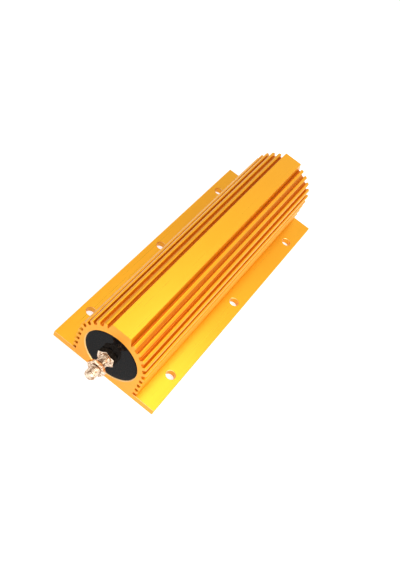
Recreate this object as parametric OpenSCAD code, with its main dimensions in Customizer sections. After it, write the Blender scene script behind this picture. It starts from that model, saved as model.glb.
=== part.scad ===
// Aluminium housed power resistor: a finned extruded housing with a wound ceramic core potted in its
// bore, a disc closing each end and a threaded terminal stud through each disc.
// X runs across the base, Y along the body and Z up. The origin is under the middle of the base.

/* [Housing] */
// Length of the extruded housing
housing_l = 300; // [220:5:400]
// Width of the mounting base
base_w = 110; // [100:1:140]
// Thickness of the mounting base
base_t = 6.5; // [5:0.5:8]
// Overall height, from the underside to the face of the top bar
housing_h = 71; // [69:0.5:80]
// Width of the flat bar on top
top_bar_w = 19.2; // [12:0.4:22]
// Height of the bore's axis above the underside
axis_h = 32; // [31:0.5:34]
// Diameter of the bore
bore_d = 53; // [51:0.5:55]
// Wall between the bore and the floors of the slots
wall_t = 4.7; // [3.5:0.1:5.5]
// Break on the bore's two edges
bore_chamfer = 0.8; // [0.2:0.1:1.2]

/* [Fins] */
// Thickness of a fin
fin_w = 3.6; // [2.8:0.1:4.2]
// Height of the lowest fin of the round part above its slot floor
fin_h = 4.4; // [3:0.1:5.5]
// How much higher each next fin of the round part stands
fin_rise = 0.15; // [0:0.05:0.2]
// Radius on the corners of a fin's tip
fin_corner = 1.2; // [0.4:0.1:1.3]
// Fins around each side of the round part
round_fins = 6; // [4:1:6]
// Angle of the lowest of these fins above the horizontal
first_fin_angle = 2.4; // [0:0.2:4]
// Angle from one of these fins to the next
fin_step = 12; // [9:0.5:12.5]
// How far each of these fins leans up from the true radius
fin_lean = 14; // [0:1:20]
// Slots down each straight side, under the round part
side_slots = 4; // [2:1:5]

/* [Mounting holes] */
// Diameter of the holes through the base
hole_d = 9; // [6:0.5:10]
// Holes along each side
holes_per_side = 3; // [2:1:5]
// From the base's side edge to the centre of a hole
hole_edge_x = 9.5; // [8:0.5:10]
// From the housing's end to the centre of the first hole
hole_edge_y = 39; // [15:1:60]

/* [End discs] */
// Thickness of a disc
disc_t = 8; // [5:0.5:14]
// How far the disc's face sits inside the housing's end
disc_recess = 0.4; // [0:0.1:2]
// Break around the disc's outer face
disc_chamfer = 0.6; // [0.2:0.1:1.5]
// Clearance all round between the disc and the bore
disc_gap = 0.15; // [0.05:0.05:0.3]
// Outer diameter of the soft washer behind the disc
seal_d = 22; // [18:1:26]
// Thickness of the soft washer
seal_t = 1.5; // [1:0.1:3]

/* [Terminals] */
// Thread diameter of the stud
stud_d = 10; // [8:0.5:11]
// How far the stud reaches beyond the housing's end
stud_reach = 27.5; // [24:0.5:40]
// Break on the stud's tip
stud_chamfer = 1.2; // [0.5:0.1:1.8]
// Sideways place of the stud, as the core was potted
stud_shift = -1.5; // [-2.5:0.5:2.5]
// Diameter of the stud's collar
collar_d = 18; // [14:1:24]
// Thickness of the collar
collar_t = 3; // [2:0.5:5]
// Width of the hex nuts across their flats
nut_af = 16; // [15:0.5:18]
// Thickness of the nut against the disc
lock_nut_t = 6; // [4:0.5:9]
// Turn of that nut about the stud
lock_nut_turn = 20; // [0:5:60]
// Bare thread between the two nuts, for a cable lug
lug_room = 9.4; // [6:0.2:10]
// Thickness of the outer nut
terminal_nut_t = 3.5; // [2.5:0.5:5]
// Turn of the outer nut about the stud
terminal_nut_turn = 0; // [0:5:60]
// Clearance all round between a thread and what it passes through
thread_gap = 0.1; // [0.05:0.05:0.3]

/* [Core and winding] */
// Outer diameter of the ceramic tube
core_d = 34; // [31:0.5:36]
// Clearance around the nut inside the tube
core_bore_gap = 0.8; // [0.3:0.1:1.5]
// Depth of a ferrule's skirt over the tube
ferrule_l = 14; // [8:1:24]
// Wall of the skirt
ferrule_t = 1.2; // [0.8:0.1:1.6]
// Thickness of the ferrule's end
ferrule_end_t = 2; // [1:0.5:4]
// Clearance between the skirt and the tube
ferrule_gap = 0.1; // [0.05:0.05:0.3]
// Thickness of the split washer
spring_washer_t = 2.2; // [1.5:0.1:3]
// Width of the split washer's ring
spring_washer_w = 3.6; // [2:0.1:4]
// Angle left open in the split washer
spring_washer_split = 12; // [5:1:30]
// Thickness of the nut inside the tube
inner_nut_t = 5; // [3:0.5:8]
// Thread left beyond that nut
stud_end = 2; // [0.5:0.5:5]
// Thickness of the resistance ribbon
ribbon_t = 1; // [0.5:0.1:1.4]
// Width of the ribbon
ribbon_w = 2.5; // [1.5:0.1:4]
// Wanted distance from one turn of the ribbon to the next
ribbon_pitch = 10; // [6:0.5:14]
// Clearance between the ribbon and the tube it is wound on
ribbon_gap = 0.1; // [0.05:0.05:0.3]
// Clearance between the cement and what it surrounds
filler_gap = 0.2; // [0.1:0.05:0.3]

/* [Hidden] */
$fn = 96;
cut = 1;
hex = 6;
nut_bevel_past = 0.3;

// The housing's section
bore_r = bore_d / 2;
floor_r = bore_r + wall_t;
lowest_fin_z = axis_h + floor_r * sin(first_fin_angle);
side_pitch = (lowest_fin_z + fin_w / 2 - base_t) / side_slots;
hole_x = base_w / 2 - hole_edge_x;
hole_span = housing_l - 2 * hole_edge_y;

// Depths of the end pieces, measured inwards from the housing's end
disc_face = disc_recess;
disc_back = disc_face + disc_t;
seal_back = disc_back + seal_t;
collar_back = seal_back + collar_t;
core_face = collar_back + ferrule_end_t;
washer_back = core_face + spring_washer_t;
inner_nut_back = washer_back + inner_nut_t;
stud_back = inner_nut_back + stud_end;
lock_nut_face = disc_face - lock_nut_t;
terminal_nut_back = lock_nut_face - lug_room;
terminal_nut_face = terminal_nut_back - terminal_nut_t;

// The core and its winding
thread_hole_r = stud_d / 2 + thread_gap;
core_r = core_d / 2;
core_l = housing_l - 2 * core_face;
core_end_r = core_r - ferrule_t - ferrule_gap;
core_bore_r = nut_af / 2 / cos(30) + core_bore_gap;
skirt_end = core_face + ferrule_l;
wound_from = core_face + ferrule_l / 2;
wound_l = housing_l - 2 * wound_from;
turns = round(wound_l / ribbon_pitch);
pitch = wound_l / turns;
quarter_climb = pitch / 4;
tipped_edge = ribbon_w / 2 * quarter_climb / core_r;
wound_r = core_r + ribbon_gap + tipped_edge + ribbon_t / 2;
ribbon_tilt = atan(quarter_climb / wound_r);
cavity_r = wound_r / cos(ribbon_tilt) + ribbon_t / 2 + tipped_edge + filler_gap;
collar_cavity_r = max(collar_d, seal_d) / 2 + filler_gap;

gold = [0.93, 0.60, 0.12];
plated = [0.86, 0.78, 0.62];
black = [0.10, 0.10, 0.11];
steel = [0.70, 0.70, 0.68];

// Places a piece drawn along +Z from the housing's front end on the core's own axis
module at_front() {
    translate([stud_shift, -housing_l / 2, axis_h]) rotate([-90, 0, 0]) children();
}

// The same at the rear end, as a mirror image
module at_rear() {
    mirror([0, 1, 0]) at_front() children();
}

// ---- housing ----

// One fin of the section, pointing along +X from its root, with rounded tip corners
module fin(height) {
    root = wall_t / 2;
    translate([-root, -fin_w / 2]) square([root + height - fin_corner, fin_w]);
    translate([0, fin_corner - fin_w / 2]) square([height, fin_w - 2 * fin_corner]);
    for (side = [-1, 1])
        translate([height - fin_corner, side * (fin_w / 2 - fin_corner)]) circle(r = fin_corner);
}

// The fins of the right half: around the arc, then down the straight side
module half_fins() {
    for (i = [0 : round_fins - 1])
        translate([0, axis_h])
            rotate(first_fin_angle + i * fin_step)
                translate([floor_r, 0]) rotate(fin_lean * min(i, 1)) fin(fin_h + i * fin_rise);
    for (i = [1 : side_slots - 1])
        translate([floor_r, base_t + i * side_pitch - fin_w / 2]) fin(fin_h);
}

module housing_section() {
    translate([-base_w / 2, 0]) square([base_w, base_t]);
    translate([-floor_r, base_t / 2]) square([2 * floor_r, axis_h - base_t / 2]);
    translate([0, axis_h]) circle(r = floor_r);
    translate([-top_bar_w / 2, axis_h]) square([top_bar_w, housing_h - axis_h]);
    half_fins();
    mirror([1, 0]) half_fins();
}

module bore() {
    translate([0, 0, axis_h]) rotate([90, 0, 0]) {
        cylinder(h = housing_l + 2 * cut, r = bore_r, center = true);
        for (end = [0, 1])
            mirror([0, 0, end]) translate([0, 0, housing_l / 2 - bore_chamfer])
                cylinder(h = 2 * bore_chamfer, r1 = bore_r, r2 = bore_r + 2 * bore_chamfer);
    }
}

module mounting_holes() {
    for (side = [-1, 1], i = [0 : holes_per_side - 1])
        translate([side * hole_x, -hole_span / 2 + i * hole_span / (holes_per_side - 1), -cut])
            cylinder(h = base_t + 2 * cut, d = hole_d);
}

module housing() {
    color(gold) difference() {
        rotate([90, 0, 0]) linear_extrude(height = housing_l, center = true) housing_section();
        bore();
        mounting_holes();
    }
}

// ---- pieces of one end, drawn along +Z from the housing's end ----

module ring(from, to, outer_r, inner_r) {
    difference() {
        translate([0, 0, from]) cylinder(h = to - from, r = outer_r);
        translate([0, 0, from - cut]) cylinder(h = to - from + 2 * cut, r = inner_r);
    }
}

// Hex nut with its outer corners turned off at both faces
module nut(from, to, turn) {
    flat_r = nut_af / 2;
    corner_r = flat_r / cos(30);
    bevel_r = corner_r + nut_bevel_past;
    bevel = (bevel_r - flat_r) * tan(30);
    difference() {
        intersection() {
            translate([0, 0, from]) rotate(turn) cylinder(h = to - from, r = corner_r, $fn = hex);
            rotate_extrude() polygon([
                [0, from], [flat_r, from], [bevel_r, from + bevel],
                [bevel_r, to - bevel], [flat_r, to], [0, to]
            ]);
        }
        translate([0, 0, from - cut]) cylinder(h = to - from + 2 * cut, r = thread_hole_r);
    }
}

// Black disc, centred in the bore, with its hole on the stud's own axis
module end_disc() {
    disc_r = bore_r - disc_gap;
    color(black) difference() {
        translate([-stud_shift, 0, 0]) rotate_extrude() polygon([
            [0, disc_face], [disc_r - disc_chamfer, disc_face], [disc_r, disc_face + disc_chamfer],
            [disc_r, disc_back], [0, disc_back]
        ]);
        translate([0, 0, disc_face - cut]) cylinder(h = disc_t + 2 * cut, r = thread_hole_r);
    }
}

module terminal_stud() {
    stud_r = stud_d / 2;
    color(plated) rotate_extrude() polygon([
        [0, -stud_reach], [stud_r - stud_chamfer, -stud_reach], [stud_r, stud_chamfer - stud_reach],
        [stud_r, seal_back], [collar_d / 2, seal_back], [collar_d / 2, collar_back],
        [stud_r, collar_back], [stud_r, stud_back], [0, stud_back]
    ]);
}

module lock_nut() { color(plated) nut(lock_nut_face, disc_face, lock_nut_turn); }

module terminal_nut() {
    color(plated) nut(terminal_nut_face, terminal_nut_back, terminal_nut_turn);
}

module seal_washer() {
    color([0.75, 0.25, 0.15]) ring(disc_back, seal_back, seal_d / 2, thread_hole_r);
}

// Cap with a skirt that fits the turned-down end of the core
module ferrule() {
    color(steel) difference() {
        translate([0, 0, collar_back]) cylinder(h = skirt_end - collar_back, r = core_r);
        translate([0, 0, core_face]) cylinder(h = ferrule_l + cut, r = core_end_r + ferrule_gap);
        translate([0, 0, collar_back - cut]) cylinder(h = ferrule_end_t + 2 * cut, r = thread_hole_r);
    }
}

module spring_washer() {
    color(steel) translate([0, 0, core_face])
        rotate_extrude(angle = 360 - spring_washer_split)
            translate([thread_hole_r, 0]) square([spring_washer_w, spring_washer_t]);
}

module inner_nut() { color(steel) nut(washer_back, inner_nut_back, 0); }

// ---- the core, its winding and the cement, drawn along +Z from the front end ----

module ceramic_core() {
    color([0.93, 0.91, 0.86]) at_front() difference() {
        union() {
            translate([0, 0, core_face]) cylinder(h = core_l, r = core_end_r);
            translate([0, 0, skirt_end]) cylinder(h = core_l - 2 * ferrule_l, r = core_r);
        }
        translate([0, 0, core_face - cut]) cylinder(h = core_l + 2 * cut, r = core_bore_r);
    }
}

// Half a turn of ribbon: a half ring tipped so that it climbs half a pitch
module half_turn() {
    rotate([0, ribbon_tilt, 0])
        rotate_extrude(angle = 180)
            translate([wound_r / cos(ribbon_tilt) - ribbon_t / 2, -ribbon_w / 2])
                square([ribbon_t, ribbon_w]);
}

module resistance_ribbon() {
    color([0.55, 0.50, 0.45]) at_front() for (i = [0 : 2 * turns - 1])
        translate([0, 0, wound_from + (i + 0.5) * pitch / 2]) rotate(180 * (i % 2)) half_turn();
}

module insulating_filler() {
    filler_r = bore_r - disc_gap;
    color([0.80, 0.78, 0.72]) at_front() difference() {
        translate([-stud_shift, 0, disc_back]) cylinder(h = housing_l - 2 * disc_back, r = filler_r);
        translate([0, 0, collar_back - filler_gap])
            cylinder(h = housing_l - 2 * (collar_back - filler_gap), r = cavity_r);
        translate([0, 0, disc_back - cut])
            cylinder(h = housing_l - 2 * (disc_back - cut), r = collar_cavity_r);
    }
}

housing();
ceramic_core();
resistance_ribbon();
insulating_filler();
at_front() end_disc();  // front_end_disc
at_rear() end_disc();  // rear_end_disc
at_front() terminal_stud();  // front_terminal_stud
at_rear() terminal_stud();  // rear_terminal_stud
at_front() lock_nut();  // front_lock_nut
at_rear() lock_nut();  // rear_lock_nut
at_front() terminal_nut();  // front_terminal_nut
at_rear() terminal_nut();  // rear_terminal_nut
at_front() seal_washer();  // front_seal_washer
at_rear() seal_washer();  // rear_seal_washer
at_front() ferrule();  // front_ferrule
at_rear() ferrule();  // rear_ferrule
at_front() spring_washer();  // front_spring_washer
at_rear() spring_washer();  // rear_spring_washer
at_front() inner_nut();  // front_inner_nut
at_rear() inner_nut();  // rear_inner_nut
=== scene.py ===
# Aluminium housed power resistor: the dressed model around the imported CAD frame.
# Lengths in the dictionaries are millimetres and angles are degrees; meshes are written in metres.
import math
import bmesh
import bpy
import numpy as np
from mathutils import Matrix, Vector


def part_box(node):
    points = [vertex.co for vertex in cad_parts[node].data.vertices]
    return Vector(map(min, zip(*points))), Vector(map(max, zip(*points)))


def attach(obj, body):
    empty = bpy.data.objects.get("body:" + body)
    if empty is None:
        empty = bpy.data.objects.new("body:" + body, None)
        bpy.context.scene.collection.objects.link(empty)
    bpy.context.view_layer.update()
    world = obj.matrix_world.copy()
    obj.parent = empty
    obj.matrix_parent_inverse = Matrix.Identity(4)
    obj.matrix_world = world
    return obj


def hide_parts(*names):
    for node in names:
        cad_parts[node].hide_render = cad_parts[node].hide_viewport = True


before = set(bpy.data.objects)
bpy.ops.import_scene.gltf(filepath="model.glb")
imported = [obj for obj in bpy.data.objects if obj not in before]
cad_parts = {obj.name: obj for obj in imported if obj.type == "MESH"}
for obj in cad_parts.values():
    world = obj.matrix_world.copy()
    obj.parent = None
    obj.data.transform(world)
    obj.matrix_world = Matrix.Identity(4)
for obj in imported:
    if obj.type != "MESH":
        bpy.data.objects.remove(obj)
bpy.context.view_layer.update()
print("frame loaded:", len(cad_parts), "nodes")

mm = 0.001
smoothBelow = 30  # faces that meet at less than this angle are shaded as one surface


def cadBox(node):  # a CAD node's lowest and highest corner, in millimetres
    low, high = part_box(node)
    return np.array(low) / mm, np.array(high) / mm


housingLow, housingHigh = cadBox("housing")
halfLength = housingHigh[1]
studLow, studHigh = cadBox("front_terminal_stud")
discLow, discHigh = cadBox("front_end_disc")
axisX = (studLow[0] + studHigh[0]) / 2  # the terminals' common axis
axisZ = (studLow[2] + studHigh[2]) / 2
ends = {"front": -1, "rear": 1}


def inwards(node):  # where a front piece starts and stops, measured inwards from the housing's end
    low, high = cadBox(node)
    return low[1] + halfLength, high[1] + halfLength


def atEnd(across, depth, up, end):  # from a terminal's own axis and depth into the housing to the frame
    return np.stack([axisX + across, ends[end] * (halfLength - depth), axisZ + up], axis=-1)


def gridFaces(rows, columns, first=0):  # quads over a grid of points whose columns close into rings
    row, column = np.meshgrid(np.arange(rows - 1), np.arange(columns), indexing="ij")
    beside = (column + 1) % columns
    quads = [row * columns + column, row * columns + beside,
             (row + 1) * columns + beside, (row + 1) * columns + column]
    return (first + np.stack(quads, axis=-1)).reshape(-1, 4).tolist()


def closedTube(rings):  # faces of a tube that also closes from its last ring back to its first
    rows, columns = rings.shape[:2]
    faces = np.array(gridFaces(rows + 1, columns))
    return (faces % (rows * columns)).tolist()


def makePiece(name, points, faces, materials, replaced):
    mesh = bpy.data.meshes.new(name)
    mesh.from_pydata((np.asarray(points).reshape(-1, 3) * mm).tolist(), [], faces)
    work = bmesh.new()
    work.from_mesh(mesh)
    bmesh.ops.recalc_face_normals(work, faces=work.faces)
    work.to_mesh(mesh)
    work.free()
    for material in materials:
        mesh.materials.append(material)
    mesh.shade_smooth()
    mesh.set_sharp_from_angle(angle=math.radians(smoothBelow))
    piece = bpy.data.objects.new(name, mesh)
    bpy.context.collection.objects.link(piece)
    if replaced:
        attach(piece, "root")
        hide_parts(replaced)
    return piece


def circle(columns):  # cosines and sines of evenly spaced angles
    angle = np.linspace(0, 2 * np.pi, columns, endpoint=False)
    return np.cos(angle), np.sin(angle)


def newMaterial(name, **constants):
    material = bpy.data.materials.new(name)
    material.use_nodes = True
    shader = material.node_tree.nodes["Principled BSDF"]
    for socket, value in constants.items():
        shader.inputs[socket.replace("_", " ")].default_value = value
    return material, material.node_tree.nodes, material.node_tree.links, shader


def addNoise(nodes, links, stretch, detail=4.0, roughness=0.55, distortion=0.0):
    # noise over Object coordinates; stretch is how many cells fit in a metre along x, y and z
    place = nodes.new("ShaderNodeTexCoord")
    mapping = nodes.new("ShaderNodeMapping")
    mapping.inputs["Scale"].default_value = stretch
    noise = nodes.new("ShaderNodeTexNoise")
    noise.inputs["Scale"].default_value = 1.0
    noise.inputs["Detail"].default_value = detail
    noise.inputs["Roughness"].default_value = roughness
    noise.inputs["Distortion"].default_value = distortion
    links.new(place.outputs["Object"], mapping.inputs["Vector"])
    links.new(mapping.outputs["Vector"], noise.inputs["Vector"])
    return noise.outputs["Fac"]


def addRange(nodes, links, source, low, high, fromLow=0.3, fromHigh=0.7):
    spread = nodes.new("ShaderNodeMapRange")
    spread.inputs["From Min"].default_value = fromLow
    spread.inputs["From Max"].default_value = fromHigh
    spread.inputs["To Min"].default_value = low
    spread.inputs["To Max"].default_value = high
    links.new(source, spread.inputs["Value"])
    return spread.outputs["Result"]


def addBlend(nodes, links, source, colourA, colourB):  # each colour is a constant or another node's output
    blend = nodes.new("ShaderNodeMix")
    blend.data_type = "RGBA"
    for name, colour in (("A", colourA), ("B", colourB)):
        if isinstance(colour, tuple):
            blend.inputs[name].default_value = (*colour, 1)
        else:
            links.new(colour, blend.inputs[name])
    links.new(source, blend.inputs["Factor"])
    return blend.outputs["Result"]


def addBump(nodes, links, height, distance, normal=None, strength=1.0):
    bump = nodes.new("ShaderNodeBump")
    bump.inputs["Strength"].default_value = strength
    bump.inputs["Distance"].default_value = distance * mm
    links.new(height, bump.inputs["Height"])
    if normal:
        links.new(normal, bump.inputs["Normal"])
    return bump.outputs["Normal"]


extrusionFinish = {
    "gold": (0.90, 0.40, 0.008),
    "deepGold": (0.86, 0.37, 0.006),
    "metal": 0.7,
    "coat": 0.1,
    "coatRoughness": 0.2,
    "roughness": (0.27, 0.35),
    "dieLines": (1500, 7, 1500),
    "grain": (2600, 2600, 2600),
    "clouds": (22, 9, 22),
    # the slots' tone is painted shade: a darker, redder colour laid into the slots
    "paintedSlotShade": (0.66, 0.20, 0.003),
    "slotShadeSpread": (-0.2, 3.4),  # heights above the slots' floors between which the painted shade in the slots fades out
}


def addSlotShadeFactor(nodes, links, spread):
    # Painted shade: a factor from 0 in the slots to 1 at the fins' tips, by the distance from the fins'
    # centre, that lays a darker tone into the slots.
    # Below that centre the sides are straight, so only x counts there: the distance is the length of (x,
    # max(z - centre, 0)).
    centre = axisZ + housing["finCentreRise"]
    floorRadius = housing["boreRadius"] + housing["wall"]
    low, high = (floorRadius + height for height in spread)
    place = nodes.new("ShaderNodeTexCoord")
    apart = nodes.new("ShaderNodeSeparateXYZ")
    links.new(place.outputs["Object"], apart.inputs["Vector"])
    above = nodes.new("ShaderNodeMath")
    above.operation = "SUBTRACT"
    above.inputs[1].default_value = centre * mm
    links.new(apart.outputs["Z"], above.inputs[0])
    upOnly = nodes.new("ShaderNodeMath")
    upOnly.operation = "MAXIMUM"
    upOnly.inputs[1].default_value = 0.0
    links.new(above.outputs["Value"], upOnly.inputs[0])
    section = nodes.new("ShaderNodeCombineXYZ")
    links.new(apart.outputs["X"], section.inputs["X"])
    links.new(upOnly.outputs["Value"], section.inputs["Z"])
    length = nodes.new("ShaderNodeVectorMath")
    length.operation = "LENGTH"
    links.new(section.outputs["Vector"], length.inputs[0])
    return addRange(nodes, links, length.outputs["Value"], 0.0, 1.0, low * mm, high * mm)


def anodisedExtrusion():
    finish = extrusionFinish
    material, nodes, links, shader = newMaterial(
        "anodisedExtrusion", Metallic=finish["metal"], Coat_Weight=finish["coat"],
        Coat_Roughness=finish["coatRoughness"])
    lines = addNoise(nodes, links, finish["dieLines"], detail=3)
    grain = addNoise(nodes, links, finish["grain"], detail=2)
    clouds = addNoise(nodes, links, finish["clouds"], detail=5)
    tone = addRange(nodes, links, clouds, 0.0, 1.0)
    outside = addBlend(nodes, links, tone, finish["gold"], finish["deepGold"])
    depth = addSlotShadeFactor(nodes, links, finish["slotShadeSpread"])
    # the slots are coloured with painted shade that fades out towards the fins' tips
    links.new(addBlend(nodes, links, depth, finish["paintedSlotShade"], outside), shader.inputs["Base Color"])
    links.new(addRange(nodes, links, lines, *finish["roughness"]), shader.inputs["Roughness"])
    bumped = addBump(nodes, links, lines, 0.006)
    links.new(addBump(nodes, links, grain, 0.004, bumped), shader.inputs["Normal"])
    return material


sawnFinish = {
    "gold": (1.0, 0.42, 0.03),
    "paleGold": (1.0, 0.45, 0.045),
    "metal": 0.75,
    "coat": 0.1,
    "coatRoughness": 0.4,
    "roughness": (0.46, 0.56),
    "sawMarks": (60, 60, 1300),
    "grain": (1800, 1800, 1800),
}


def sawnEnd():
    finish = sawnFinish
    material, nodes, links, shader = newMaterial(
        "sawnEnd", Metallic=finish["metal"], Coat_Weight=finish["coat"],
        Coat_Roughness=finish["coatRoughness"])
    marks = addNoise(nodes, links, finish["sawMarks"], detail=3, distortion=0.4)
    grain = addNoise(nodes, links, finish["grain"], detail=2)
    tone = addRange(nodes, links, marks, 0.0, 1.0)
    links.new(addBlend(nodes, links, tone, finish["gold"], finish["paleGold"]), shader.inputs["Base Color"])
    links.new(addRange(nodes, links, grain, *finish["roughness"]), shader.inputs["Roughness"])
    bumped = addBump(nodes, links, marks, 0.008)
    links.new(addBump(nodes, links, grain, 0.004, bumped), shader.inputs["Normal"])
    return material


discFinish = {
    "black": (0.004, 0.004, 0.0045),
    "sheen": (0.008, 0.008, 0.009),
    "refraction": 1.14,
    "roughness": (0.06, 0.11),
    "ripple": (140, 140, 140),
    "specks": (900, 900, 900),
}


def mouldedBlack():
    finish = discFinish
    material, nodes, links, shader = newMaterial("mouldedBlack", IOR=finish["refraction"])
    ripple = addNoise(nodes, links, finish["ripple"], detail=3)
    specks = addNoise(nodes, links, finish["specks"], detail=2)
    tone = addRange(nodes, links, specks, 0.0, 1.0)
    links.new(addBlend(nodes, links, tone, finish["black"], finish["sheen"]), shader.inputs["Base Color"])
    links.new(addRange(nodes, links, ripple, *finish["roughness"]), shader.inputs["Roughness"])
    links.new(addBump(nodes, links, ripple, 0.01), shader.inputs["Normal"])
    return material


# The chamfers' paler tone is partly the turned metal and partly a painted highlight.
rimFinish = {
    "pale": (1.0, 0.66, 0.28),
    "peach": (1.0, 0.58, 0.20),
    "metal": 0.6,
    "roughness": (0.30, 0.40),
    "toolMarks": (900, 900, 900),
}


def turnedRimAndHighlight():
    finish = rimFinish
    material, nodes, links, shader = newMaterial("turnedRimAndHighlight", Metallic=finish["metal"])
    marks = addNoise(nodes, links, finish["toolMarks"], detail=2)
    tone = addRange(nodes, links, marks, 0.0, 1.0)
    links.new(addBlend(nodes, links, tone, finish["pale"], finish["peach"]), shader.inputs["Base Color"])
    links.new(addRange(nodes, links, marks, *finish["roughness"]), shader.inputs["Roughness"])
    links.new(addBump(nodes, links, marks, 0.004), shader.inputs["Normal"])
    return material


platedFinish = {
    "cream": (0.84, 0.68, 0.52),
    # The dark copper tone in random patches is partly the plating's own tint and partly painted shade.
    "copperAndShade": (0.36, 0.20, 0.11),
    "roughness": (0.08, 0.16),
    "clouds": (420, 420, 420),
    "turning": (500, 4200, 500),
}


def platedMetal():
    finish = platedFinish
    material, nodes, links, shader = newMaterial("platedMetal", Metallic=1.0)
    clouds = addNoise(nodes, links, finish["clouds"], detail=4)
    turning = addNoise(nodes, links, finish["turning"], detail=2)
    tone = addRange(nodes, links, clouds, 0.0, 1.0, 0.42, 0.62)
    links.new(addBlend(nodes, links, tone, finish["cream"], finish["copperAndShade"]), shader.inputs["Base Color"])
    links.new(addRange(nodes, links, turning, *finish["roughness"]), shader.inputs["Roughness"])
    links.new(addBump(nodes, links, turning, 0.004), shader.inputs["Normal"])
    return material


# Inner finishes: two tones, roughness range, cells per metre, bump height, metal share
innerFinishes = {
    "siliconeRubber": ((0.42, 0.09, 0.05), (0.50, 0.13, 0.08), (0.55, 0.70), 700, 0.01, 0.0),
    "zincSteel": ((0.60, 0.60, 0.58), (0.72, 0.72, 0.70), (0.28, 0.42), 420, 0.005, 1.0),
    "firedCeramic": ((0.86, 0.83, 0.76), (0.93, 0.91, 0.86), (0.55, 0.75), 900, 0.02, 0.0),
    "heatTintedRibbon": ((0.36, 0.30, 0.26), (0.50, 0.47, 0.44), (0.35, 0.50), 300, 0.004, 1.0),
    "setCement": ((0.62, 0.59, 0.53), (0.76, 0.73, 0.66), (0.80, 0.95), 1100, 0.06, 0.0),
}


def innerMaterial(name):
    toneA, toneB, roughness, cells, height, metal = innerFinishes[name]
    material, nodes, links, shader = newMaterial(name, Metallic=metal)
    mottle = addNoise(nodes, links, (cells, cells, cells), detail=5)
    tone = addRange(nodes, links, mottle, 0.0, 1.0)
    links.new(addBlend(nodes, links, tone, toneA, toneB), shader.inputs["Base Color"])
    links.new(addRange(nodes, links, mottle, *roughness), shader.inputs["Roughness"])
    links.new(addBump(nodes, links, mottle, height), shader.inputs["Normal"])
    return material


housing = {
    "baseThickness": 6.5,
    "barWidth": 19.2,
    "barFootWidth": 23.0,
    "boreRadius": 26.5,
    "boreChamfer": 0.8,
    "wall": 4.7,
    "finCentreRise": 2.0,  # the fins' circles are centred above the bore
    "finWidth": 3.6,
    "finHeight": 4.1,
    "roundFins": 6,
    "firstFinAngle": -1.4,
    "finStep": 12.9,
    "finLean": 14,
    "sideSlots": 4,
    "tipRadius": 1.2,
    "rootRadius": 0.6,
    "grooveRadius": 0.25,
    "edgeRadius": 0.4,
    "endBreak": 0.25,
    "arcSteps": 5,
    "hold": 0.06,
    "boreColumns": 160,
}

housingMaterials = [anodisedExtrusion(), sawnEnd(), turnedRimAndHighlight()]
sawnSlot, rimSlot = 1, 2
blackMaterial = mouldedBlack()
platedMaterial = platedMetal()
print("materials made")


def polar(radius, degrees):
    angle = np.radians(degrees)
    return np.stack([radius * np.cos(angle), radius * np.sin(angle)], axis=-1)


def halfCorners():
    # The section's right half, corner by corner from the base's lower edge to the top bar, with the
    # radius of each corner. A round fin's side is a line shifted half a fin from its middle line. Along
    # it, a circle about the fins' centre is met at -b + sqrt(b*b - c): the floor circle gives the side's
    # root and the tip circle its tip.
    h = housing
    floorRadius = h["boreRadius"] + h["wall"]
    halfFin = h["finWidth"] / 2
    halfBar = h["barWidth"] / 2
    halfFoot = h["barFootWidth"] / 2
    centre = np.array([0, axisZ + h["finCentreRise"]])
    number = np.arange(h["roundFins"])
    angle = h["firstFinAngle"] + number * h["finStep"]
    lean = angle + h["finLean"] * np.minimum(number, 1)
    foot = polar(floorRadius, angle)
    along = polar(1.0, lean)
    aside = polar(1.0, lean + 90)

    def finSide(side):
        start = foot + side * halfFin * aside
        b = np.sum(start * along, axis=1)
        met = [-b + np.sqrt(b * b - np.sum(start * start, axis=1) + radius ** 2)
               for radius in (floorRadius, floorRadius + h["finHeight"])]
        return [start + reach[:, None] * along + centre for reach in met]

    lowRoot, lowTip = finSide(-1)
    highRoot, highTip = finSide(1)
    roundFins = np.stack([lowRoot, lowTip, highTip, highRoot], axis=1).reshape(-1, 2)
    pitch = (foot[0, 1] + centre[1] + halfFin - h["baseThickness"]) / h["sideSlots"]
    level = h["baseThickness"] + np.arange(1, h["sideSlots"]) * pitch
    low, high = level - h["finWidth"], level
    near = np.full(len(level), floorRadius)
    far = near + h["finHeight"]
    sideFins = np.stack([near, low, far, low, far, high, near, high], axis=1).reshape(-1, 2)
    barFoot = centre[1] + math.sqrt(floorRadius ** 2 - halfFoot ** 2)
    base = [[housingHigh[0], 0], [housingHigh[0], h["baseThickness"]], [floorRadius, h["baseThickness"]]]
    bar = [[halfFoot, barFoot], [halfBar, housingHigh[2]]]
    corners = np.concatenate([base, sideFins, roundFins, bar])
    finRadii = [h["rootRadius"], h["tipRadius"], h["tipRadius"], h["rootRadius"]]
    fins = len(level) + h["roundFins"]
    radii = [h["edgeRadius"], h["edgeRadius"], h["rootRadius"], *finRadii * fins,
             h["grooveRadius"], h["edgeRadius"]]
    radii[-3] = h["grooveRadius"]  # the last fin's root, which shares the groove beside the bar
    return corners, np.array(radii)


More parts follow.
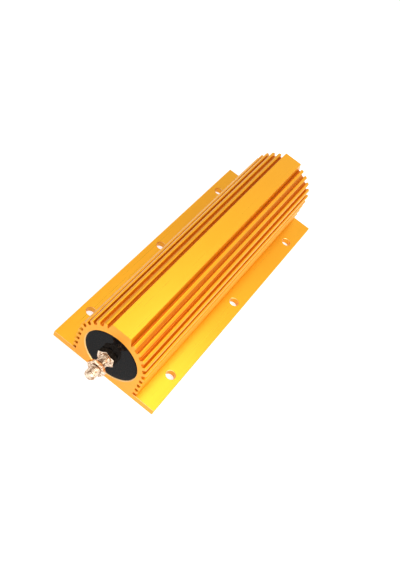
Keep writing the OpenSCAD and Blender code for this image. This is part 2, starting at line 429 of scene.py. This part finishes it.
def roundedOutline(corners, radii, steps, hold):
    # Each corner becomes an arc that touches both its sides. The arc's centre lies on the corner's bisector
    # at radius / sin(half the angle); its points swing evenly from one touching point to the other, and one
    # more point on each side, a little further out, keeps the flats flat in shading.
    ahead = np.roll(corners, -1, axis=0) - corners
    behind = np.roll(corners, 1, axis=0) - corners
    ahead /= np.linalg.norm(ahead, axis=1)[:, None]
    behind /= np.linalg.norm(behind, axis=1)[:, None]
    half = np.arccos(np.clip(np.sum(ahead * behind, axis=1), -1, 1)) / 2
    bisector = ahead + behind
    bisector /= np.linalg.norm(bisector, axis=1)[:, None]
    centre = corners + bisector * (radii / np.sin(half))[:, None]
    touch = (radii / np.tan(half))[:, None]
    start = corners + behind * touch - centre
    finish = corners + ahead * touch - centre
    cross = start[:, 0] * finish[:, 1] - start[:, 1] * finish[:, 0]
    sweep = np.arctan2(cross, np.sum(start * finish, axis=1))
    swing = sweep[:, None] * np.linspace(0, 1, steps + 1)
    x = start[:, :1] * np.cos(swing) - start[:, 1:] * np.sin(swing)
    y = start[:, :1] * np.sin(swing) + start[:, 1:] * np.cos(swing)
    arc = centre[:, None] + np.stack([x, y], axis=-1)
    before = (corners + behind * (touch + hold))[:, None]
    after = (corners + ahead * (touch + hold))[:, None]
    return np.concatenate([before, arc, after], axis=1).reshape(-1, 2)


def inset(outline, distance):  # every point moves inwards along the mean normal of its two sides
    side = np.roll(outline, -1, axis=0) - outline
    side /= np.linalg.norm(side, axis=1)[:, None]
    normal = np.stack([-side[:, 1], side[:, 0]], axis=1)
    mean = normal + np.roll(normal, 1, axis=0)
    mean /= np.sum(mean * normal, axis=1)[:, None]
    return outline + distance * mean


def buildHousing():
    # The outline is carried along Y through four rings, the end ones inset for the broken edge. The bore is
    # a second tube of rings, and each end face is two polygons that share the outline and the bore's rim.
    h = housing
    corners, radii = halfCorners()
    mirrored = (corners * [-1, 1])[::-1]
    outline = roundedOutline(np.concatenate([corners, mirrored]), np.concatenate([radii, radii[::-1]]),
                             h["arcSteps"], h["hold"])
    count = len(outline)
    sections = [inset(outline, h["endBreak"]), outline, outline, inset(outline, h["endBreak"])]
    stations = halfLength * np.array([-1, -1, 1, 1]) + h["endBreak"] * np.array([0, 1, -1, 0])
    skin = np.stack([np.stack([s[:, 0], np.full(count, y), s[:, 1]], axis=1)
                     for s, y in zip(sections, stations)])
    columns = h["boreColumns"]
    cosine, sine = circle(columns)
    rimRadius = h["boreRadius"] + h["boreChamfer"]
    boreRadii = np.array([rimRadius, h["boreRadius"], h["boreRadius"], rimRadius])
    boreStations = halfLength * np.array([-1, -1, 1, 1]) + h["boreChamfer"] * np.array([0, 1, -1, 0])
    bore = np.stack([boreRadii[:, None] * cosine, np.repeat(boreStations[:, None], columns, axis=1),
                     axisZ + boreRadii[:, None] * sine], axis=-1)
    points = np.concatenate([skin.reshape(-1, 3), bore.reshape(-1, 3)])
    boreFirst = 4 * count
    faces = gridFaces(4, count) + gridFaces(4, columns, boreFirst)
    halfway = count // 2
    top, bottom = columns // 4, 3 * columns // 4
    rightRim = [i % columns for i in range(top, bottom - columns - 1, -1)]
    leftRim = [i % columns for i in range(bottom, top - 1, -1)]
    for skinRow, boreRow in ((0, 0), (3, 3)):
        edge = np.arange(count) + skinRow * count
        rim = boreFirst + boreRow * columns
        right = [*edge[:halfway + 1], *(rim + np.array(rightRim)), edge[-1]]
        left = [*edge[halfway:], *(rim + np.array(leftRim))]
        faces += [[int(i) for i in right], [int(i) for i in left]]
    return makePiece("housingSkin", points, faces, housingMaterials, "housing")


holes = {
    "radius": 4.5,
    "chamfer": 0.3,
    "perSide": 3,
    "fromSide": 9.5,
    "fromEnd": 39,
    "beyond": 1.0,
    "columns": 64,
}


def holeCutters():
    # One drill shape per hole: its radius widens by the chamfer where it passes the base's two faces
    h = holes
    wide = h["radius"] + h["chamfer"] + h["beyond"]
    base = housing["baseThickness"]
    radius = np.array([wide, h["radius"], h["radius"], wide])
    level = np.array([-h["beyond"], h["chamfer"], base - h["chamfer"], base + h["beyond"]])
    cosine, sine = circle(h["columns"])
    x = (housingHigh[0] - h["fromSide"]) * np.array([-1, 1])
    y = np.linspace(h["fromEnd"] - halfLength, halfLength - h["fromEnd"], h["perSide"])
    points, faces = [], []
    for centreX, centreY in [(a, b) for a in x for b in y]:
        first = len(points) * 4 * h["columns"]
        rings = np.stack([centreX + radius[:, None] * cosine, centreY + radius[:, None] * sine,
                          np.repeat(level[:, None], h["columns"], axis=1)], axis=-1)
        points.append(rings)
        faces += gridFaces(4, h["columns"], first)
        faces.append(list(range(first, first + h["columns"])))
        faces.append(list(range(first + 3 * h["columns"], first + 4 * h["columns"])))
    return makePiece("drills", np.array(points), faces, housingMaterials, None)


endwards = 0.5  # share of a face's normal along Y from which it counts as turned to an end
squareOn = 0.95  # and the share from which it is no chamfer


def drillHousing(piece):
    # The holes are cut, and each face then gets its finish: sawn on the ends, turned on the bore's and the
    # holes' chamfers with a paler tone that is partly a painted highlight, anodised elsewhere
    drills = holeCutters()
    cut = piece.modifiers.new("holes", "BOOLEAN")
    cut.object = drills
    cut.operation = "DIFFERENCE"
    cut.solver = "EXACT"
    shown = piece.evaluated_get(bpy.context.evaluated_depsgraph_get())
    drilled = bpy.data.meshes.new_from_object(shown)
    drilled.name = piece.name
    piece.modifiers.remove(cut)
    piece.data = drilled
    bpy.data.objects.remove(drills)
    normals = np.empty(len(drilled.polygons) * 3)
    centres = np.empty(len(drilled.polygons) * 3)
    drilled.polygons.foreach_get("normal", normals)
    drilled.polygons.foreach_get("center", centres)
    x, y, z = np.abs(centres.reshape(-1, 3).T) / mm
    acrossEnd, upright = np.abs(normals.reshape(-1, 3).T)[1:]
    onEnd = (y > halfLength - housing["endBreak"]) & (acrossEnd > endwards)
    fromAxis = np.hypot(x, z - axisZ)
    sloped = (acrossEnd > endwards) & (acrossEnd < squareOn)
    boreRim = (fromAxis < housing["boreRadius"] + housing["boreChamfer"]) & sloped
    fromHoles = np.abs(x - housingHigh[0] + holes["fromSide"])
    nearTop = (z < housing["baseThickness"]) & (z > housing["baseThickness"] - holes["chamfer"])
    holeRim = nearTop & (upright < squareOn) & (fromHoles < holes["radius"] + holes["chamfer"])
    slots = np.where(boreRim | holeRim, rimSlot, np.where(onEnd, sawnSlot, 0)).astype(np.int32)
    drilled.polygons.foreach_set("material_index", slots)
    drilled.shade_smooth()
    drilled.set_sharp_from_angle(angle=math.radians(smoothBelow))


drillHousing(buildHousing())
print("housing built and drilled")

disc = {
    "columns": 120,
    "faceRings": 10,
    "edgeRadius": 0.6,
    "edgeSteps": 5,
    "holeRadius": 5.1,
    "holeBreak": 0.3,
}


def buildDisc(end):
    # Rings run from the hole, which is on the terminal's axis, across the face to the rim, which is centred
    # in the bore: each ring's centre and radius slide evenly from the hole's to the rim's. The profile then
    # turns over the rounded edge, down the side, and back across the inner face to the hole.
    d = disc
    faceDepth, backDepth = inwards("front_end_disc")
    outer = (discHigh[0] - discLow[0]) / 2
    offset = (discHigh[0] + discLow[0]) / 2 - axisX
    slide = np.linspace(0, 1, d["faceRings"])
    innerRadius = d["holeRadius"] + d["holeBreak"]
    flatRadius = outer - d["edgeRadius"]
    turn = np.linspace(0, np.pi / 2, d["edgeSteps"] + 1)[1:]
    share = np.concatenate([[0], slide, np.ones(d["edgeSteps"]), [1], [0]])
    radius = np.concatenate([[d["holeRadius"]], innerRadius + (flatRadius - innerRadius) * slide,
                             flatRadius + d["edgeRadius"] * np.sin(turn), [outer], [d["holeRadius"]]])
    depth = np.concatenate([[faceDepth + d["holeBreak"]], np.full(d["faceRings"], faceDepth),
                            faceDepth + d["edgeRadius"] * (1 - np.cos(turn)), [backDepth], [backDepth]])
    cosine, sine = circle(d["columns"])
    across = offset * share[:, None] + radius[:, None] * cosine
    up = radius[:, None] * sine
    rings = atEnd(across, np.repeat(depth[:, None], d["columns"], axis=1), up, end)
    makePiece(end + "Disc", rings, closedTube(rings), [blackMaterial], end + "_end_disc")


stud = {
    "radius": 5.0,
    "pitch": 1.5,
    "threadDepth": 0.75,
    "crest": 0.16,
    "rowsPerPitch": 12,
    "columns": 48,
    "tipChamfer": 1.2,
    "collarBack": 12.9,
}


def buildStud(end):
    # Radius over depth and angle: the thread is a zigzag of (depth / pitch - angle / turn), flat on its
    # crests, cut off by a cone at each tip, and the collar is a plain step between its two shoulders.
    t = stud
    tip, back = inwards("front_terminal_stud")
    collarFront = inwards("front_seal_washer")[1]
    collarRadius = (studHigh[0] - studLow[0]) / 2
    step = t["pitch"] / t["rowsPerPitch"]
    outside = np.arange(tip, collarFront, step)
    inside = np.arange(t["collarBack"], back, step)
    shoulders = [collarFront, collarFront, t["collarBack"], t["collarBack"]]
    depth = np.concatenate([outside, shoulders, inside, [back]])
    isCollar = np.zeros(len(depth), bool)
    isCollar[len(outside) + 1:len(outside) + 3] = True
    turn = np.arange(t["columns"]) / t["columns"]
    phase = (depth[:, None] / t["pitch"] + ends[end] * turn) % 1
    zigzag = np.clip((np.abs(2 * phase - 1) - t["crest"]) / (1 - t["crest"]), 0, 1)
    radius = t["radius"] - t["threadDepth"] * zigzag
    cone = t["radius"] - t["tipChamfer"] + np.minimum(depth - tip, back - depth)
    radius = np.minimum(radius, cone[:, None])
    radius[isCollar] = collarRadius
    cosine, sine = circle(t["columns"])
    rings = atEnd(radius * cosine, np.repeat(depth[:, None], t["columns"], axis=1), radius * sine, end)
    faces = gridFaces(len(depth), t["columns"])
    last = (len(depth) - 1) * t["columns"]
    faces += [list(range(t["columns"])), list(range(last, last + t["columns"]))]
    makePiece(end + "Stud", rings, faces, [platedMaterial], end + "_terminal_stud")


nut = {
    "acrossFlats": 16.0,
    "faceShare": 0.95,  # width of the turned face over the width across flats
    "bevelAngle": 30,
    "cornerBreak": 0.12,
    "boreRadius": 5.05,
    "boreChamfer": 0.5,
    "columns": 180,
}
nutTurns = {"lock_nut": 40, "terminal_nut": 0, "inner_nut": 0}


def buildNut(end, kind, material):
    # The hexagon's radius at an angle is flat / cos(angle from the middle of its flat), with the corners
    # slightly broken. Each face is a turned circle from which a shallow cone falls to that radius.
    n = nut
    start, stop = inwards("front_" + kind)
    flat = n["acrossFlats"] / 2
    angle = np.linspace(0, 2 * np.pi, n["columns"], endpoint=False)
    sector = np.pi / 3
    fromCorner = (angle - math.radians(nutTurns[kind])) % sector
    corner = flat / math.cos(sector / 2) - n["cornerBreak"]
    hexRadius = np.minimum(flat / np.cos(fromCorner - sector / 2), corner)
    faceRadius = np.full(n["columns"], flat * n["faceShare"])
    drop = (hexRadius - faceRadius) * math.tan(math.radians(n["bevelAngle"]))
    bore = np.full(n["columns"], n["boreRadius"])
    mouth = bore + n["boreChamfer"]
    flush = np.zeros(n["columns"])
    radius = np.stack([bore, mouth, faceRadius, hexRadius, hexRadius, faceRadius, mouth, bore])
    depth = np.stack([start + n["boreChamfer"] + flush, start + flush, start + flush, start + drop,
                      stop - drop, stop + flush, stop + flush, stop - n["boreChamfer"] + flush])
    rings = atEnd(radius * np.cos(angle), depth, radius * np.sin(angle), end)
    name = end + "".join(word.title() for word in kind.split("_"))
    makePiece(name, rings, closedTube(rings), [material], end + "_" + kind)


steelMaterial = innerMaterial("zincSteel")
for end in ends:
    buildDisc(end)
    buildStud(end)
    buildNut(end, "lock_nut", platedMaterial)
    buildNut(end, "terminal_nut", platedMaterial)
    buildNut(end, "inner_nut", steelMaterial)
print("discs, studs and nuts built")

carried = {
    "ceramic_core": "firedCeramic",
    "resistance_ribbon": "heatTintedRibbon",
    "insulating_filler": "setCement",
    "front_seal_washer": "siliconeRubber",
    "rear_seal_washer": "siliconeRubber",
    "front_ferrule": "zincSteel",
    "rear_ferrule": "zincSteel",
    "front_spring_washer": "zincSteel",
    "rear_spring_washer": "zincSteel",
}
madeFinishes = {"zincSteel": steelMaterial}
for node, finishName in carried.items():
    if finishName not in madeFinishes:
        madeFinishes[finishName] = innerMaterial(finishName)
    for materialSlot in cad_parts[node].material_slots:
        materialSlot.material = madeFinishes[finishName]
print("inner pieces finished")

stage = {
    "floorSize": 6000,
    "floorColour": (0.60, 0.60, 0.60),
    "floorLift": 0.79,
    "worldLevel": 0.34,
}


def emissionFor(nodes, links):  # one where the ray comes from the camera, a reflection or through glass
    path = nodes.new("ShaderNodeLightPath")
    pair = nodes.new("ShaderNodeMath")
    pair.operation = "MAXIMUM"
    links.new(path.outputs["Is Camera Ray"], pair.inputs[0])
    links.new(path.outputs["Is Glossy Ray"], pair.inputs[1])
    every = nodes.new("ShaderNodeMath")
    every.operation = "MAXIMUM"
    links.new(pair.outputs["Value"], every.inputs[0])
    links.new(path.outputs["Is Transmission Ray"], every.inputs[1])
    return every.outputs["Value"]


def paleFloor():
    material = bpy.data.materials.new("paleFloor")
    material.use_nodes = True
    nodes, links = material.node_tree.nodes, material.node_tree.links
    nodes.clear()
    diffuse = nodes.new("ShaderNodeBsdfDiffuse")
    diffuse.inputs["Color"].default_value = (*stage["floorColour"], 1)
    glow = nodes.new("ShaderNodeEmission")
    strength = nodes.new("ShaderNodeMath")
    strength.operation = "MULTIPLY"
    strength.inputs[1].default_value = stage["floorLift"]
    links.new(emissionFor(nodes, links), strength.inputs[0])
    links.new(strength.outputs["Value"], glow.inputs["Strength"])
    both = nodes.new("ShaderNodeAddShader")
    links.new(diffuse.outputs["BSDF"], both.inputs[0])
    links.new(glow.outputs["Emission"], both.inputs[1])
    output = nodes.new("ShaderNodeOutputMaterial")
    links.new(both.outputs["Shader"], output.inputs["Surface"])
    return material


def buildFloor():
    half = stage["floorSize"] / 2
    points = [[-half, -half, 0], [half, -half, 0], [half, half, 0], [-half, half, 0]]
    floor = makePiece("floor", points, [[0, 1, 2, 3]], [paleFloor()], None)


def softWorld():
    world = bpy.data.worlds.new("softWorld")
    bpy.context.scene.world = world
    world.use_nodes = True
    nodes, links = world.node_tree.nodes, world.node_tree.links
    nodes.clear()
    white = nodes.new("ShaderNodeBackground")
    level = nodes.new("ShaderNodeBackground")
    level.inputs["Strength"].default_value = stage["worldLevel"]
    for background in (white, level):
        background.inputs["Color"].default_value = (1, 1, 1, 1)
    mix = nodes.new("ShaderNodeMixShader")
    links.new(emissionFor(nodes, links), mix.inputs["Fac"])
    links.new(level.outputs["Background"], mix.inputs[1])
    links.new(white.outputs["Background"], mix.inputs[2])
    output = nodes.new("ShaderNodeOutputWorld")
    links.new(mix.outputs["Shader"], output.inputs["Surface"])


# Soft boxes: direction they stand in as azimuth from +Y and elevation, distance, size, watts
lamps = {
    "keyBox": (12, 72, 1100, 560, 2.9),
    "frontBox": (160, 12, 1100, 800, 3.2),
    "sideBox": (100, 42, 1100, 700, 9.0),
}


def buildLamps():
    for name, (azimuth, elevation, distance, size, power) in lamps.items():
        light = bpy.data.lights.new(name, "AREA")
        light.shape = "SQUARE"
        light.size = size * mm
        light.energy = power
        lamp = bpy.data.objects.new(name, light)
        bpy.context.collection.objects.link(lamp)
        across, rise = math.radians(azimuth), math.radians(elevation)
        direction = Vector((math.sin(across) * math.cos(rise), math.cos(across) * math.cos(rise),
                            math.sin(rise)))
        lamp.location = direction * distance * mm
        lamp.rotation_euler = direction.to_track_quat("Z", "Y").to_euler()


view = {
    "azimuth": 10.29,     # from -Y towards +X
    "elevation": 49.86,
    "roll": 29.94,        # anticlockwise turn of the picture
    "distance": 682.7,
    "target": (14.0, -33.1, 35.0),
    "lens": 46.87,
    "sensor": 36,
}


def buildCamera():
    turn, rise = math.radians(view["azimuth"]), math.radians(view["elevation"])
    back = Vector((math.sin(turn) * math.cos(rise), -math.cos(turn) * math.cos(rise), math.sin(rise)))
    right = Vector((0, 0, 1)).cross(back).normalized()
    upright = Matrix((right, back.cross(right), back)).transposed()
    rolled = upright @ Matrix.Rotation(math.radians(view["roll"]), 3, "Z")
    data = bpy.data.cameras.new("camera")
    data.lens = view["lens"]
    data.sensor_width = view["sensor"]
    camera = bpy.data.objects.new("camera", data)
    bpy.context.collection.objects.link(camera)
    camera.matrix_world = rolled.to_4x4()
    camera.location = Vector(view["target"]) * mm + back * view["distance"] * mm
    bpy.context.scene.camera = camera


buildFloor()
softWorld()
buildLamps()
buildCamera()
bpy.context.scene.view_settings.view_transform = "Standard"
print("floor, light and camera set")
